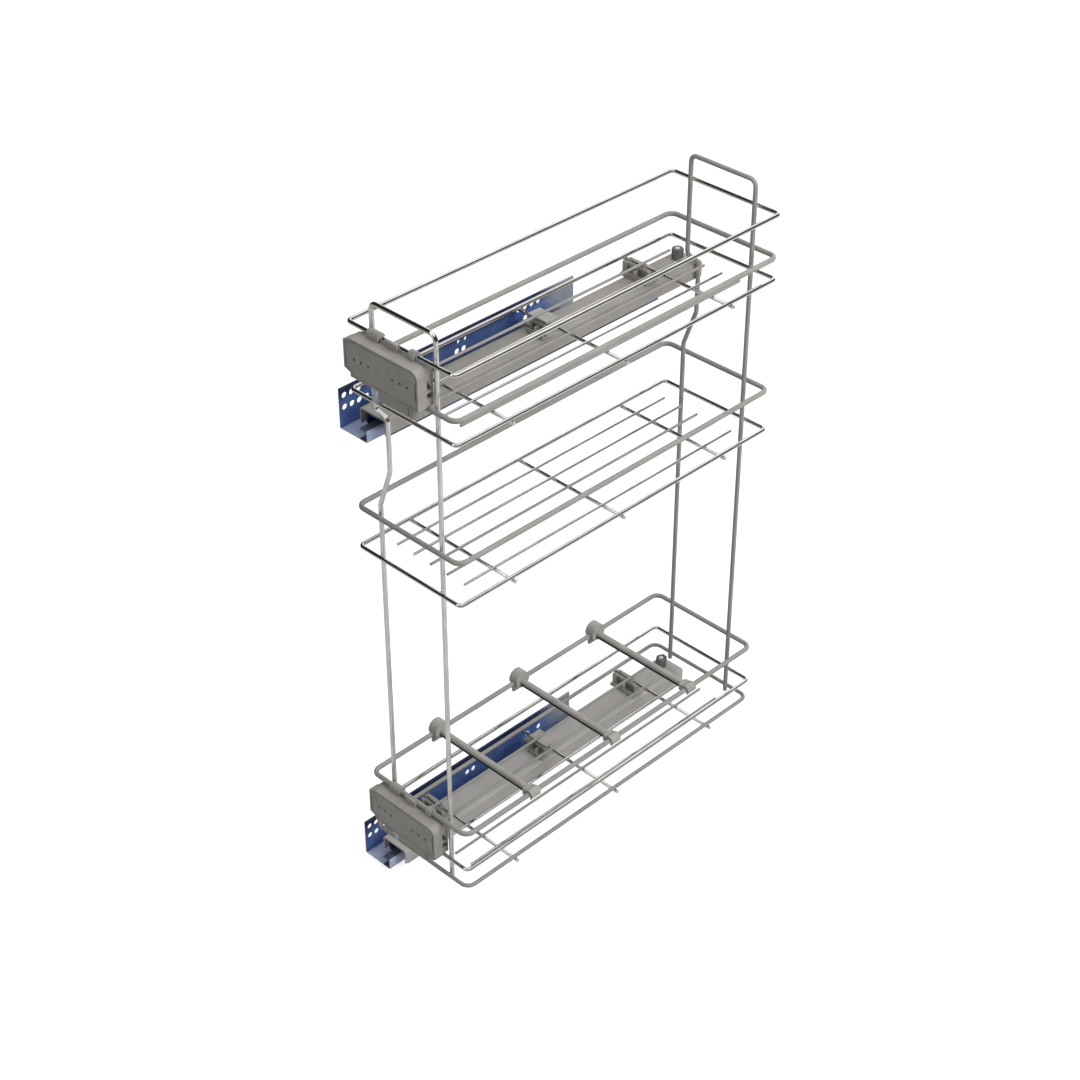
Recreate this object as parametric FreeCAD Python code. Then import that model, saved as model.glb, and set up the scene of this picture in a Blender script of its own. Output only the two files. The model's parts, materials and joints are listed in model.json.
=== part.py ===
import FreeCAD, Part
import math
import os

# Pull-out bottle rack for a narrow base cabinet: three wire baskets on two frame loops and two side slides.
# Sizes are millimetres. +X points away from the cabinet wall, +Y into the cabinet, +Z up.
# The origin lies midway between the two fixing holes of the lower cabinet rail, on its wall face.

# Baskets
rack_length = 450.0
rack_width = 144.5
level_spacing = 548.8
middle_basket_rise = 367.9
low_ring_step = 25.0
high_ring_step = 48.5
floor_above_rail = 45.0
basket_behind_fixing = 95.2
rack_from_wall = 8.0

# Wires
thick_wire = 5.5
ring_wire = 4.5
frame_wire = 5.0
cross_wire = 4.0
floor_wire = 3.0
thick_ring_corner = 9.5
ring_corner = 10.0
bright_ring_corner = 5.0
weld_sink = 0.1
cross_wire_poke = 2.5
cross_wire_spacing = 155.0
floor_wire_spacing = 24.0
floor_wire_length = 394.0

# Frame loops
frame_span = 86.5
frame_rise = 28.7
frame_foot = 4.3
frame_corner = 7.5
crank_gap = 1.3
crank_drop = 12.1
crank_slope = 3.6
crank_straight = 59.4
crank_return = 45.0
crank_tight_bend = 5.0
crank_easy_bend = 9.0

# Slides: heights and widths of the three nested sheet sections
sheet = 1.5
sheet_bend = 2.0
fixing_pitch = 224.0
rail_front_margin = 25.1
rail_rear_margin = 69.4
rail_height = 43.7
rail_width = 40.0
lip_height = 12.8
lip_flange = 11.0
fixing_hole = 6.5
fixing_hole_height = 21.5
upper_hole_rise = 13.0
hole_step = 9.3
small_hole = 4.0
small_hole_rise = 10.4
small_hole_shift = 2.3
middle_hole_behind_front = 128.3
inner_roller_space = 4.7
outer_roller_space = 4.9
slide_from_wall = 19.0
slide_width = 30.2
slide_length = 380.0
slide_behind_channel = 5.0
slide_wall = 13.0
slide_near_wall = 15.5
slide_hook = 12.0
channel_gap = 1.3
channel_length = 450.0
channel_ahead = 220.0
channel_wall = 17.4
channel_tab_width = 7.0
channel_tab_rise = 5.0
channel_tab_inset = 3.0

# Roller cages
roller_play = 0.3
cage_plate = 2.6
inner_cage_length = 120.0
inner_cage_ahead = 95.0
inner_cage_width = 16.0
inner_roller_length = 8.0
inner_roller_count = 4
outer_cage_length = 140.0
outer_cage_ahead = 60.0
outer_cage_width = 24.0
outer_roller_length = 16.0
outer_roller_count = 5
cage_end_margin = 13.0

# Wire clips on the channels
clip_foot = 3.0
clip_front_reach = 9.0
clip_rear_reach = 10.0
clip_overhang = 5.0
clip_near_setback = 4.0
clip_hook_drop = 5.0
clip_wall = 3.0
clip_front_wall_drop = 0.3
clip_rear_wall_rise = 1.4
clip_ring_gap = 0.6
clip_lip = 1.5
clip_lip_rise = 2.6
clip_rib = 2.0
clip_rib_drop = 3.0
clip_window_depth = 3.0
clip_window_margin = 1.6
clip_fit = 0.05
lidded_clip_setback = 0.5
lidded_clip_inset = 12.3
clip_lid = 1.6
clip_lid_inset = 8.8
clip_lid_reach = 8.0
clip_slot_length = 7.0
clip_slot_width = 1.6
clip_slot_ahead = 8.0
clip_slot_from_edge = 8.0

# Thumb knobs
knob_diameter = 12.6
knob_height = 12.0
knob_rib_count = 18
knob_rib_depth = 0.5
knob_from_rear = 14.0
knob_from_frame_leg = 1.75
knob_recess = 4.4
knob_recess_depth = 4.0
knob_stud = 5.0
knob_stud_fit = 0.08
knob_collar = 9.0
knob_collar_thick = 1.2
knob_seat_gap = 0.2

# Door brackets
plate_width = 101.0
plate_height = 41.0
plate_shift = -10.0
plate_above_floor = 49.4
plate_depth = 9.0
plate_ahead = 16.2
plate_skin = 2.6
plate_near_round = 9.0
plate_small_round = 1.2
plate_least_round = 0.3
plate_far_chamfer = 10.0
plate_far_drop = 3.8
plate_foot_step = 8.5
plate_foot_rise = 4.5
plate_foot_bevel = 2.7
door_hole = 3.0
door_hole_offsets = (16.5, 26.3, 36.0)
groove_offset = 47.3
groove_height = 18.5
groove_width = 1.4
border_inset = 2.0
border_width = 0.8
border_depth = 0.5
body_side_gap = 2.5
body_wall = 2.4
body_far_reach = 48.0
body_leg_gap = 0.4
hook_places = ((-23.4, 15.7), (28.5, 7.6))
hook_radius = 5.0
hook_fit = 0.05
middle_lip_offset = 1.6
middle_lip_width = 16.8
middle_lip_thick = 2.0
middle_lip_rise = 3.6
side_window_depth = 14.0
side_window_top = 10.7
side_window_height = 14.4
side_window_length = 7.9
side_window_front = 2.8
side_rib = 3.2
side_hollow_height = 5.6
apron_near = 33.0
apron_far = 15.0
apron_slot_from_middle = 27.0
apron_slot_width = 1.6
apron_slot_height = 10.0
apron_above_floor = 9.9
hook_strip = 1.5
hook_strip_width = 7.0
hook_strip_offset = -24.0
hook_strip_seat = 3.0
hook_strip_clear = 0.5
hook_strip_tail = 4.0
hook_strip_fit = 0.05

# Dividers on the lowest basket's rim
divider_pitch = 123.5
divider_shift = -5.0
divider_count = 3
divider_bar_height = 7.5
divider_bar_thick = 7.5
divider_bar_above_ring = 0.5
divider_fit = 0.1
head_radius = 10.0
head_thick = 12.0
head_lift = 3.3
head_mouth = 4.6
tongue_width = 12.0
tongue_drop = 15.7
barrel_diameter = 11.6
barrel_length = 13.0
barrel_neck = 9.0
barrel_neck_height = 8.0

# Places that follow from the sizes above
basket_x = rack_from_wall + rack_width / 2 + thick_wire / 2
basket_y = basket_behind_fixing
frame_leg_y = rack_length / 2 - thick_wire / 2 - frame_wire / 2 + weld_sink
near_leg_x = basket_x + frame_span / 2
far_leg_x = basket_x - frame_span / 2
rail_bottoms = {"lower": -fixing_hole_height, "upper": level_spacing - fixing_hole_height}
floors = {name: bottom + floor_above_rail for name, bottom in rail_bottoms.items()}
middle_floor = floors["lower"] + middle_basket_rise
top_rim = floors["upper"] + low_ring_step + high_ring_step
lowest_rim = floors["lower"] + low_ring_step + high_ring_step
slide_top = lip_height + inner_roller_space + sheet
channel_top = slide_top + outer_roller_space + sheet
channel_x = slide_from_wall - channel_gap - sheet
channel_width = slide_width + 2 * (channel_gap + sheet)
channel_front = basket_y - channel_ahead
rail_front = -fixing_pitch / 2 - rail_front_margin
rail_length = rail_front_margin + fixing_pitch + rail_rear_margin
cross_wire_rows = [basket_y + row * cross_wire_spacing for row in (-1, 0, 1)]
plate_x = basket_x + plate_shift
plate_front = basket_y - rack_length / 2 - plate_ahead
plate_back = plate_front + plate_depth
apron_back = basket_y - frame_leg_y - frame_wire / 2 + weld_sink - thick_wire - clip_fit


def point(x, y, z):
    return FreeCAD.Vector(x, y, z)


def save(node, *solids):
    # One node is one solid, or a group of separate solids.
    shape = solids[0] if len(solids) == 1 else Part.makeCompound(list(solids))
    shape.exportStep("parts/" + node + ".step")
    print(node, len(shape.Solids), round(shape.Volume, 1), shape.isValid())


def box(low, high):
    return Part.makeBox(high[0] - low[0], high[1] - low[1], high[2] - low[2], point(*low))


def rod(start, end, diameter):
    along = point(*end) - point(*start)
    return Part.makeCylinder(diameter / 2, along.Length, point(*start), along)


def whole(shape):
    return shape.removeSplitter()


def bent_line(points, bends, closed=False):
    # Straight runs joined by tangent arcs; bends holds one radius for each inner corner, or for every
    # corner after the first point of a closed line, whose first point lies on a straight run.
    count = len(points)
    corners = range(1, count) if closed else range(1, count - 1)
    edges = []
    last = points[0]
    for corner, radius in zip(corners, bends):
        here = points[corner]
        arriving = (here - points[corner - 1]).normalize()
        leaving = (points[(corner + 1) % count] - here).normalize()
        half_turn = arriving.getAngle(leaving) / 2
        start = here - arriving * (radius * math.tan(half_turn))
        end = here + leaving * (radius * math.tan(half_turn))
        inward = (leaving - arriving).normalize()
        middle = here + inward * (radius / math.cos(half_turn) - radius)
        edges.append(Part.makeLine(last, start))
        edges.append(Part.Arc(start, middle, end).toShape())
        last = end
    edges.append(Part.makeLine(last, points[0] if closed else points[-1]))
    return Part.Wire(edges)


def round_wire(path, diameter):
    first = path.Edges[0]
    start = first.valueAt(first.FirstParameter)
    heading = first.tangentAt(first.FirstParameter)
    section = Part.Wire(Part.makeCircle(diameter / 2, start, heading))
    return path.makePipeShell([section], True, False)


def folded_sheet(corners, front, length):
    # corners trace the sheet's outer face in X and Z and turn to the left, with the metal on the left too.
    outer = bent_line([point(x, front, z) for x, z in corners], [sheet_bend] * (len(corners) - 2))
    section = outer.makeOffset2D(sheet, 0, True, True, False)
    return section.extrude(point(0, length, 0))


def ring_half_length(diameter):
    # End wires of every ring lie against the outer sides of the frame legs.
    return frame_leg_y + frame_wire / 2 - weld_sink + diameter / 2


def ring(height, diameter, corner):
    half_length = ring_half_length(diameter)
    half_width = rack_width / 2
    near = basket_x + half_width
    far = basket_x - half_width
    front = basket_y - half_length
    rear = basket_y + half_length
    corners = [point(near, basket_y, height), point(near, rear, height), point(far, rear, height),
               point(far, front, height), point(near, front, height)]
    return round_wire(bent_line(corners, [corner] * 4, closed=True), diameter)


def thick_ring(height):
    return ring(height, thick_wire, thick_ring_corner)


def thin_ring(height, corner=bright_ring_corner):
    return ring(height, ring_wire, corner)


def cross_wire_height(floor):
    return floor - ring_wire / 2 - cross_wire / 2 + weld_sink


def cross_wires(floor):
    # Three wires under the floor ring, each a little longer than the basket is wide.
    reach = rack_width / 2 + ring_wire / 2 + cross_wire_poke
    height = cross_wire_height(floor)
    far = basket_x - reach
    near = basket_x + reach
    return [rod((far, y, height), (near, y, height), cross_wire) for y in cross_wire_rows]


def floor_wires(floor, columns):
    # Wires along the basket, on top of the cross wires; columns count from the middle one.
    height = cross_wire_height(floor) + cross_wire / 2 + floor_wire / 2 - weld_sink
    front = basket_y - floor_wire_length / 2
    rear = front + floor_wire_length
    places = [basket_x + column * floor_wire_spacing for column in columns]
    return [rod((x, front, height), (x, rear, height), floor_wire) for x in places]


def frame_loop(y):
    # An upside-down U; its far leg is cranked towards the basket's middle to pass the upper channel.
    foot = floors["lower"] - frame_foot
    head = top_rim + frame_rise
    cranked_x = channel_x + channel_width + crank_gap + frame_wire / 2
    crank_top = floors["upper"] - crank_drop
    crank_low = crank_top - crank_slope - crank_straight
    points = [point(far_leg_x, y, foot), point(far_leg_x, y, crank_low - crank_return),
              point(cranked_x, y, crank_low), point(cranked_x, y, crank_top - crank_slope),
              point(far_leg_x, y, crank_top), point(far_leg_x, y, head),
              point(near_leg_x, y, head), point(near_leg_x, y, foot)]
    bends = [crank_easy_bend] * 2 + [crank_tight_bend] * 2 + [frame_corner] * 2
    return round_wire(bent_line(points, bends), frame_wire)


def wall_hole(y, z, diameter):
    return rod((-sheet, y, z), (3 * sheet, y, z), diameter)


def cabinet_rail(bottom):
    # A tall flange against the wall, a web, an upright lip and the lip's inward flange that rollers run on.
    lip_top = bottom + lip_height
    corners = [(0, bottom + rail_height), (0, bottom), (rail_width, bottom), (rail_width, lip_top),
               (rail_width - lip_flange, lip_top)]
    rail = folded_sheet(corners, rail_front, rail_length)
    low_row = bottom + fixing_hole_height
    high_row = low_row + upper_hole_rise
    front_hole = -fixing_pitch / 2
    rear_hole = fixing_pitch / 2
    middle_hole = front_hole + middle_hole_behind_front
    holes = [wall_hole(front_hole + step * hole_step, low_row, fixing_hole) for step in (-2, -1, 0, 1)]
    holes += [wall_hole(front_hole + step * hole_step, high_row, fixing_hole) for step in (-2, -1, 0)]
    holes += [wall_hole(rear_hole + step * hole_step, low_row, fixing_hole) for step in (0, 2)]
    holes += [wall_hole(rear_hole + step * hole_step, high_row, fixing_hole) for step in (-1, 0, 1, 2)]
    for step in (0, 1):
        y = middle_hole + step * hole_step
        holes.append(wall_hole(y, low_row, fixing_hole))
        holes.append(wall_hole(y + small_hole_shift, low_row + small_hole_rise, small_hole))
    return rail.cut(holes)


def slide_section(bottom):
    # The section between cabinet rail and channel; its far wall hooks in under the rail's lip flange.
    near = slide_from_wall + slide_width
    top = bottom + slide_top
    low = top - slide_wall
    corners = [(near, top - slide_near_wall), (near, top), (slide_from_wall, top), (slide_from_wall, low),
               (slide_from_wall + slide_hook, low)]
    return folded_sheet(corners, channel_front + slide_behind_channel, slide_length)


def channel(bottom):
    # An upside-down U over the other sections, with slots for the wire clips, a knob hole and a rear tab.
    near = channel_x + channel_width
    top = bottom + channel_top
    low = top - channel_wall
    corners = [(near, low), (near, top), (channel_x, top), (channel_x, low)]
    shape = folded_sheet(corners, channel_front, channel_length)
    cuts = []
    for y in cross_wire_rows:
        slot_near = near - clip_slot_from_edge
        slot_rear = y - clip_slot_ahead
        cuts.append(box((slot_near - clip_slot_length, slot_rear - clip_slot_width, top - 2 * sheet),
                        (slot_near, slot_rear, top + sheet)))
    knob = knob_place(bottom)
    cuts.append(rod(tuple(knob - point(0, 0, 3 * sheet)), tuple(knob + point(0, 0, sheet)),
                    knob_stud + 2 * knob_stud_fit))
    rear = channel_front + channel_length
    tab_x = channel_x + channel_tab_inset
    tab = box((tab_x, rear - sheet, top - sheet), (tab_x + channel_tab_width, rear, top + channel_tab_rise))
    return whole(shape.cut(cuts).fuse(tab))


def roller_row(bottom_of_space, space, left, cage_width, roller_length, front, length, count):
    # A flat plastic cage with one window for each roller, and the rollers, which turn about X.
    middle = bottom_of_space + space / 2
    centre = left + cage_width / 2
    cage = box((left, front, middle - cage_plate / 2),
               (left + cage_width, front + length, middle + cage_plate / 2))
    diameter = space - 2 * roller_play
    half_window = diameter / 2 + roller_play
    step = (length - 2 * cage_end_margin) / (count - 1)
    places = [front + cage_end_margin + number * step for number in range(count)]
    far = centre - roller_length / 2
    near = centre + roller_length / 2
    windows = [box((far - roller_play, y - half_window, middle - space),
                   (near + roller_play, y + half_window, middle + space)) for y in places]
    rollers = [rod((far, y, middle), (near, y, middle), diameter) for y in places]
    return cage.cut(windows), rollers


def inner_rollers(bottom):
    # Between the cabinet rail's lip flange and the underside of the slide section.
    flat_middle = rail_width - (lip_flange + sheet_bend) / 2
    left = flat_middle - inner_cage_width / 2
    front = basket_y - inner_cage_ahead
    return roller_row(bottom + lip_height, inner_roller_space, left, inner_cage_width,
                      inner_roller_length, front, inner_cage_length, inner_roller_count)


def outer_rollers(bottom):
    # Between the top of the slide section and the underside of the channel.
    flat_middle = slide_from_wall + slide_width / 2
    left = flat_middle - outer_cage_width / 2
    front = basket_y - outer_cage_ahead
    return roller_row(bottom + slide_top, outer_roller_space, left, outer_cage_width,
                      outer_roller_length, front, outer_cage_length, outer_roller_count)


def wire_clip(bottom, y, lidded):
    # A foot on the channel, a hook over its far edge and a cradle that the cross wire lies in. In front is a
    # recess with a lip, a rib and two windows. A clip with a lid is shorter in front, and its lid reaches
    # back over the wire, slotted for the floor wire above.
    seat = bottom + channel_top
    far = channel_x - clip_overhang
    near = channel_x + channel_width - (lidded_clip_setback if lidded else clip_near_setback)
    cradle_far = channel_x + lidded_clip_inset if lidded else far
    wire_z = cross_wire_height(bottom + floor_above_rail)
    bore = cross_wire + 2 * clip_fit
    half_cradle = bore / 2 + clip_wall
    overlap = clip_foot / 2
    foot_top = seat + clip_foot
    wall_top = wire_z + clip_rear_wall_rise
    front = y - clip_front_reach
    rear = y + clip_rear_reach
    wall_far = max(cradle_far, basket_x - rack_width / 2 + ring_wire / 2 + clip_ring_gap)
    foot = box((cradle_far, front, seat), (near, rear, foot_top))
    strap = box((far, y, seat), (near, rear, foot_top))
    hook = box((far, y, seat - clip_hook_drop), (channel_x - clip_fit, rear, seat + overlap))
    cradle = box((cradle_far, y - half_cradle, seat + overlap),
                 (near, y + half_cradle, wire_z - clip_front_wall_drop))
    rear_wall = box((wall_far, y, seat + overlap), (near, y + half_cradle, wall_top))
    shape = foot.fuse([strap, hook, cradle, rear_wall])
    wire_room = rod((far - sheet, y, wire_z), (near + sheet, y, wire_z), bore)
    if lidded:
        lid_top = wire_z + bore / 2 + clip_lid
        lid_far = channel_x + clip_lid_inset
        column = box((lid_far, y, seat + overlap), (near, y + half_cradle, lid_top))
        lid = box((lid_far, y - bore / 2 - clip_lid, wall_top),
                  (near, y + half_cradle + clip_lid_reach, lid_top))
        slot_x = basket_x - 2 * floor_wire_spacing
        half_slot = floor_wire / 2 + clip_ring_gap
        slot = box((slot_x - half_slot, front, wall_top),
                   (slot_x + half_slot, rear + clip_lid_reach, lid_top))
        shape = shape.fuse([column, lid]).cut([slot, wire_room])
    else:
        mouth = box((far - sheet, y - bore / 2, wire_z), (near + sheet, y + bore / 2, wire_z + bore))
        shape = shape.cut([wire_room, mouth])
    recess_back = y - bore / 2 - clip_wall / 2
    recess_far = wall_far + clip_wall
    recess_near = near - clip_wall
    middle = (recess_far + recess_near) / 2
    half_rib = clip_rib / 2
    pocket = box((recess_far, y - half_cradle - sheet, foot_top), (recess_near, recess_back, wire_z))
    window_low = foot_top + clip_window_margin
    window_top = wire_z - bore / 2 - clip_window_margin
    windows = [box((recess_far, recess_back - sheet, window_low),
                   (middle - half_rib, recess_back + clip_window_depth, window_top)),
               box((middle + half_rib, recess_back - sheet, window_low),
                   (recess_near, recess_back + clip_window_depth, window_top))]
    lip = box((wall_far, front, seat + overlap), (near, front + clip_lip, foot_top + clip_lip_rise))
    rib = box((middle - half_rib, front, seat + overlap),
              (middle + half_rib, recess_back + overlap, wire_z - bore / 2 - clip_rib_drop))
    return whole(shape.cut([pocket] + windows).fuse([lip, rib]))


def knob_place(bottom):
    # Where the knob's axis meets the top face of the channel, just clear of the rear frame leg.
    rear = channel_front + channel_length
    x = far_leg_x - frame_wire / 2 - knob_from_frame_leg - knob_diameter / 2
    return point(x, rear - knob_from_rear, bottom + channel_top)


def thumb_knob(bottom):
    # A ribbed drum with a recess on top, and a stud whose collar keeps it in the channel's sheet.
    place = knob_place(bottom)
    base = place + point(0, 0, knob_seat_gap)
    up = point(0, 0, 1)
    drum = Part.makeCylinder(knob_diameter / 2 - knob_rib_depth, knob_height, base, up)
    rib_radius = math.pi * knob_diameter / knob_rib_count / 3
    reach = knob_diameter / 2 - rib_radius
    ribs = []
    for number in range(knob_rib_count):
        angle = 2 * math.pi * number / knob_rib_count
        centre = base + point(reach * math.cos(angle), reach * math.sin(angle), 0)
        ribs.append(Part.makeCylinder(rib_radius, knob_height - knob_rib_depth, centre, up))
    recess_base = base + point(0, 0, knob_height - knob_recess_depth)
    recess = Part.makeCylinder(knob_recess / 2, knob_recess_depth, recess_base, up)
    stud_low = place - point(0, 0, sheet + knob_seat_gap + knob_collar_thick)
    stud = Part.makeCylinder(knob_stud / 2, base.z + knob_rib_depth - stud_low.z, stud_low, up)
    collar = Part.makeCylinder(knob_collar / 2, knob_collar_thick, stud_low, up)
    return whole(drum.fuse(ribs + [stud, collar]).cut(recess))


def plate_outline(y, floor, inset):
    # The front plate seen from the door: a cut far top corner, a round near one and a stepped foot.
    middle = floor + plate_above_floor
    far = plate_x - plate_width / 2 + inset
    near = plate_x + plate_width / 2 - inset
    top = middle + plate_height / 2 - inset
    low = middle - plate_height / 2 + inset
    small = max(plate_small_round - inset, plate_least_round)
    corners = [point(far, y, middle), point(far, y, top - plate_far_drop),
               point(far + plate_far_chamfer, y, top), point(near, y, top), point(near, y, low),
               point(far + plate_foot_step, y, low), point(far + plate_foot_step, y, low + plate_foot_rise),
               point(far, y, low + plate_foot_rise + plate_foot_bevel)]
    bends = [small, small, plate_near_round - inset] + [small] * 4
    return Part.Face(bent_line(corners, bends, closed=True))


def door_plate(floor):
    # A shallow tray, open to the rear; its face has six door screw holes, two upright grooves and a
    # border line.
    middle = floor + plate_above_floor
    tray = plate_outline(plate_front, floor, 0).extrude(point(0, plate_depth, 0))
    cuts = [plate_outline(plate_front + plate_skin, floor, plate_skin).extrude(point(0, plate_depth, 0))]
    depth = point(0, border_depth, 0)
    border = plate_outline(plate_front, floor, border_inset).extrude(depth)
    cuts.append(border.cut(plate_outline(plate_front, floor, border_inset + border_width).extrude(depth)))
    for side in (-1, 1):
        for offset in door_hole_offsets:
            x = plate_x + side * offset
            cuts.append(rod((x, plate_front - sheet, middle), (x, plate_back, middle), door_hole))
        x = plate_x + side * groove_offset
        cuts.append(box((x - groove_width / 2, plate_front - sheet, middle - groove_height / 2),
                        (x + groove_width / 2, plate_front + plate_skin / 2, middle + groove_height / 2)))
    return whole(tray.cut(cuts))


def side_hollows(near, middle):
    # Two hollows in the body's near face with a rib between: a triangle, deepest in front, and a slit.
    start = plate_back + side_window_front
    end = start + side_window_length
    top = middle + side_window_top
    low = top - side_window_height
    corners = [point(near, start, top), point(near, end, low), point(near, start, low)]
    inward = point(-side_window_depth, 0, 0)
    triangle = Part.Face(Part.makePolygon(corners + [corners[0]])).extrude(inward)
    slit_top = low - side_rib
    slit = box((near - side_window_depth, start, slit_top - side_hollow_height), (near, end, slit_top))
    return [triangle, slit]


def bracket_body(floor, rim_wire):
    # The block behind the plate fills the space between the two upper rings, hooks over the rim from the
    # front and ends below in an apron above the floor ring.
    middle = floor + plate_above_floor
    top = middle + plate_height / 2
    low = middle - plate_height / 2
    near = near_leg_x - frame_wire / 2 - body_side_gap
    between_legs = far_leg_x + frame_wire / 2 + body_side_gap
    leg_y = basket_y - frame_leg_y
    leg_front = leg_y - frame_wire / 2 - body_leg_gap
    cover = plate_outline(plate_back, floor, 0).extrude(point(0, body_wall, 0))
    block = box((plate_x - body_far_reach, plate_back, low), (near, leg_front, top))
    core = box((between_legs, plate_back, low), (near, leg_y, top))
    outline = plate_outline(plate_back, floor, 0).extrude(point(0, leg_y - plate_back, 0))
    apron_low = floor + apron_above_floor
    apron = box((plate_x - apron_far, plate_back, apron_low),
                (plate_x + apron_near, apron_back, low + body_wall))
    rim_z = floor + low_ring_step + high_ring_step
    wire_y = basket_y - ring_half_length(rim_wire)
    parts = [block.common(outline), core.common(outline), apron]
    for offset, width in hook_places:
        start = plate_x + offset - width / 2
        end = start + width
        parts.append(rod((start, wire_y, rim_z), (end, wire_y, rim_z), 2 * hook_radius))
        parts.append(box((start, wire_y - hook_radius, top - body_wall), (end, wire_y, rim_z)))
    lip_back = wire_y - rim_wire / 2 - hook_fit
    lip_x = plate_x + middle_lip_offset
    parts.append(box((lip_x - middle_lip_width / 2, lip_back - middle_lip_thick, top - body_wall),
                     (lip_x + middle_lip_width / 2, lip_back, rim_z + middle_lip_rise)))
    clear_far = between_legs - rack_width
    wire_room = rod((clear_far, wire_y, rim_z), (near + rack_width, wire_y, rim_z), rim_wire + 2 * hook_fit)
    throat = box((clear_far, wire_y, top), (near, wire_y + 2 * hook_radius, rim_z))
    leg_room = rod((far_leg_x, leg_y, low), (far_leg_x, leg_y, top + 2 * hook_radius),
                   frame_wire + 2 * body_leg_gap)
    slot_x = plate_x + apron_slot_from_middle
    slot = box((slot_x - apron_slot_width / 2, plate_back - sheet, apron_low),
               (slot_x + apron_slot_width / 2, apron_back + sheet, apron_low + apron_slot_height))
    strip_x = plate_x + hook_strip_offset
    half_groove = hook_strip_width / 2 + hook_strip_fit
    groove = box((strip_x - half_groove, apron_back - hook_strip, low),
                 (strip_x + half_groove, apron_back + hook_strip_fit, low + hook_strip_seat))
    rooms = [wire_room, throat, leg_room, slot, groove]
    return whole(cover.fuse(parts).cut(rooms + side_hollows(near, middle)))


def bracket_hook(floor):
    # A strip in a groove in the body's underside that hangs down, reaches back over the floor ring's wire
    # and down behind it.
    wire_y = basket_y - ring_half_length(ring_wire)
    strip_x = plate_x + hook_strip_offset
    far = strip_x - hook_strip_width / 2
    near = strip_x + hook_strip_width / 2
    front = apron_back - hook_strip
    low = floor + ring_wire / 2 + hook_strip_clear
    tail = wire_y + ring_wire / 2 + hook_strip_fit
    body_low = floor + plate_above_floor - plate_height / 2
    upright = box((far, front, low), (near, apron_back, body_low + hook_strip_seat - hook_strip_fit))
    bridge = box((far, front, low), (near, tail + hook_strip, low + hook_strip))
    end = box((far, tail, low - hook_strip_tail), (near, tail + hook_strip, low + hook_strip))
    return whole(upright.fuse([bridge, end]))


def divider_y(number):
    return basket_y + divider_shift + (number - (divider_count - 1) / 2) * divider_pitch


def rim_run(x, y, reach, diameter):
    # A stretch of the lowest basket's rim wire, used to clear room for it.
    return rod((x, y - reach, lowest_rim), (x, y + reach, lowest_rim), diameter)


def divider_head(y):
    # A round head astride the far wire with a tongue that hangs outside it.
    wire_x = basket_x - rack_width / 2
    outer = wire_x - head_thick / 2
    inner = wire_x + head_thick / 2
    middle = lowest_rim + head_lift
    bore = thick_wire + 2 * divider_fit
    disc = rod((outer, y, middle), (inner, y, middle), 2 * head_radius)
    tongue = box((outer, y - tongue_width / 2, lowest_rim - tongue_drop),
                 (wire_x - bore / 2, y + tongue_width / 2, middle))
    mouth = box((wire_x - head_mouth / 2, y - head_radius - sheet, middle - 2 * head_radius),
                (wire_x + head_mouth / 2, y + head_radius + sheet, lowest_rim))
    return whole(disc.fuse(tongue).cut([rim_run(wire_x, y, 2 * head_radius, bore), mouth]))


def divider_barrel(y):
    # A barrel along the near wire, with a square neck that the bar ends in.
    wire_x = basket_x + rack_width / 2
    bore = thick_wire + 2 * divider_fit
    front = y - barrel_length / 2
    rear = y + barrel_length / 2
    barrel = rod((wire_x, front, lowest_rim), (wire_x, rear, lowest_rim), barrel_diameter)
    neck = box((wire_x - barrel_neck, front, lowest_rim - barrel_neck_height / 2),
               (wire_x, rear, lowest_rim + barrel_neck_height / 2))
    mouth = box((wire_x - head_mouth / 2, front - sheet, lowest_rim - barrel_diameter),
                (wire_x + head_mouth / 2, rear + sheet, lowest_rim))
    return whole(barrel.fuse(neck).cut([rim_run(wire_x, y, barrel_length, bore), mouth]))


def divider_bar(y):
    # The cross bar, face to face with head and neck.
    far = basket_x - rack_width / 2 + head_thick / 2
    near = basket_x + rack_width / 2 - barrel_neck
    low = lowest_rim + divider_bar_above_ring - divider_bar_height / 2
    return box((far, y - divider_bar_thick / 2, low),
               (near, y + divider_bar_thick / 2, low + divider_bar_height))


os.makedirs("parts", exist_ok=True)

# Baskets: rings, cross wires and floor wires
save("top_rim_ring", thin_ring(top_rim))
save("top_middle_ring", thick_ring(floors["upper"] + low_ring_step))
save("top_floor_ring", thin_ring(floors["upper"]))
save("middle_rim_ring", thick_ring(middle_floor + high_ring_step))
save("middle_floor_ring", thin_ring(middle_floor))
save("lowest_rim_ring", thick_ring(lowest_rim))
save("lowest_middle_ring", thin_ring(floors["lower"] + low_ring_step))
save("lowest_floor_ring", thin_ring(floors["lower"], ring_corner))
baskets = {"top": (floors["upper"], (-2, 0, 2), (-1, 1)),
           "middle": (middle_floor, (0, 1), (-2, -1, 2)),
           "lowest": (floors["lower"], (-2, -1, 1), (0, 2))}
for name, (floor, grey_columns, bright_columns) in baskets.items():
    save(name + "_cross_wires", *cross_wires(floor))
    save(name + "_floor_wires_grey", *floor_wires(floor, grey_columns))
    save(name + "_floor_wires_bright", *floor_wires(floor, bright_columns))

# Frame
save("front_frame_loop", frame_loop(basket_y - frame_leg_y))
save("rear_frame_loop", frame_loop(basket_y + frame_leg_y))

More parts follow.
